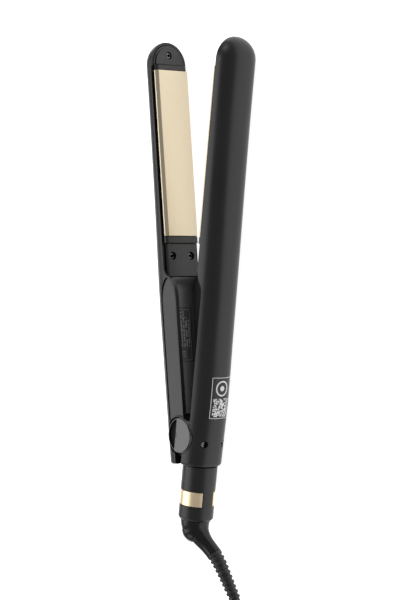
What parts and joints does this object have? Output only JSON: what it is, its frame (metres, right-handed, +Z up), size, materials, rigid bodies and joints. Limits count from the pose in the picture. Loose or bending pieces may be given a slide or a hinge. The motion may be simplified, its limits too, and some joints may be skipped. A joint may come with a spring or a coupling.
{
  "type": "flat iron hair straightener",
  "caption": "Flat iron lying open on its side: two hinged arms with floating heating plates, a gold-banded neck and a swivelling mains cord.",
  "frame": {"origin": "on the hinge axis, on the flat face of the lower hinge cap that the iron rests on", "axes": "+Z up along the hinge axis, +Y along the fixed arm towards its tip, +X towards the fixed arm's back"},
  "size_m": [0.1472, 0.491, 0.03],
  "materials": {
    "satin_black": "satin moulded plastic with a fine spark texture",
    "gloss_black": "glossy moulded plastic",
    "inner_black": "fine matte moulded plastic",
    "plate_champagne": "satin champagne coating on aluminium",
    "ring_gold": "mirror polished, gold plated",
    "bright_steel": "plain bright steel",
    "black_screw": "black zinc",
    "ceramic_white": "matt fired ceramic",
    "silicone_grey": "translucent grey silicone",
    "board_green": "solder mask",
    "cord_black": "soft matt cord jacket",
    "label_grey": "printed satin label",
    "lamp_red": "clear tinted lens"
  },
  "bodies": {
    "fixed_arm": {"fixed_shell": "satin_black", "fixed_plate_carrier": "inner_black", "fixed_plate_cushion": "silicone_grey", "fixed_inner_cover": "satin_black", "fixed_cover_screw_upper": "black_screw", "fixed_cover_screw_lower": "black_screw", "fixed_tip_cap": "satin_black", "fixed_tip_screw": "black_screw", "fixed_handle_liner": "inner_black", "fixed_hinge_block": "inner_black", "hinge_cap_upper": "satin_black", "hinge_cap_lower": "satin_black", "hinge_pin": "bright_steel", "hinge_washer_upper": "bright_steel", "hinge_washer_lower": "bright_steel", "hinge_spring": "bright_steel", "back_screw_upper": "black_screw", "back_screw_lower": "black_screw", "lamp_lens": "lamp_red", "control_board": "board_green", "neck_sleeve": "satin_black", "neck_band_upper": "ring_gold", "neck_band_lower": "ring_gold", "swivel_retainer": "bright_steel", "cord_lead": "cord_black", "cord_coil": "cord_black", "cord_tail": "cord_black", "cord_tie": "cord_black", "plug_body": "cord_black", "plug_pin_upper": "bright_steel", "plug_pin_lower": "bright_steel"},
    "moving_arm": {"moving_shell": "satin_black", "moving_plate_carrier": "inner_black", "moving_plate_cushion": "silicone_grey", "moving_inner_cover": "satin_black", "moving_cover_screw_upper": "black_screw", "moving_cover_screw_lower": "black_screw", "moving_tip_cap": "satin_black", "moving_tip_screw": "black_screw", "moving_handle_liner": "inner_black", "moving_hinge_block": "inner_black", "cheek_panel_upper": "satin_black", "cheek_panel_lower": "satin_black", "rating_label": "label_grey"},
    "fixed_plate": {"fixed_heating_plate": "plate_champagne", "fixed_heater": "ceramic_white", "fixed_heater_clamp": "bright_steel", "fixed_temperature_sensor": "bright_steel"},
    "moving_plate": {"moving_heating_plate": "plate_champagne", "moving_heater": "ceramic_white", "moving_heater_clamp": "bright_steel", "moving_temperature_sensor": "bright_steel"},
    "button": {"power_button": "gloss_black"},
    "swivel": {"swivel_spigot": "inner_black", "swivel_elbow": "gloss_black", "strain_relief": "cord_black"}
  },
  "joints": [
    {"name": "arm_hinge", "type": "hinge", "parent": "fixed_arm", "child": "moving_arm", "pos_m": [0, 0, 0.015], "axis": [0, 0, 1], "range_deg": [-13.2, 0], "stiffness_Nm_per_rad": 0.8, "springref_deg": 28.65, "deforming": ["hinge_spring"]},
    {"name": "fixed_plate_float", "type": "slide", "parent": "fixed_arm", "child": "fixed_plate", "axis": [1, 0, 0], "range_m": [0, 0.001], "stiffness_N_per_m": 6000, "springref_m": -0.0003, "deforming": ["fixed_plate_cushion"]},
    {"name": "moving_plate_float", "type": "slide", "parent": "moving_arm", "child": "moving_plate", "axis": [-0.9736, -0.2284, 0], "range_m": [0, 0.001], "stiffness_N_per_m": 6000, "springref_m": -0.0003, "deforming": ["moving_plate_cushion"]},
    {"name": "power_button_press", "type": "slide", "parent": "fixed_arm", "child": "button", "axis": [1, 0, 0], "range_m": [0, 0.0006], "stiffness_N_per_m": 800, "springref_m": -0.0003},
    {"name": "cord_swivel", "type": "hinge", "parent": "fixed_arm", "child": "swivel", "pos_m": [0.0069, -0.055, 0.015], "axis": [0, -1, 0], "continuous": true}
  ]
}
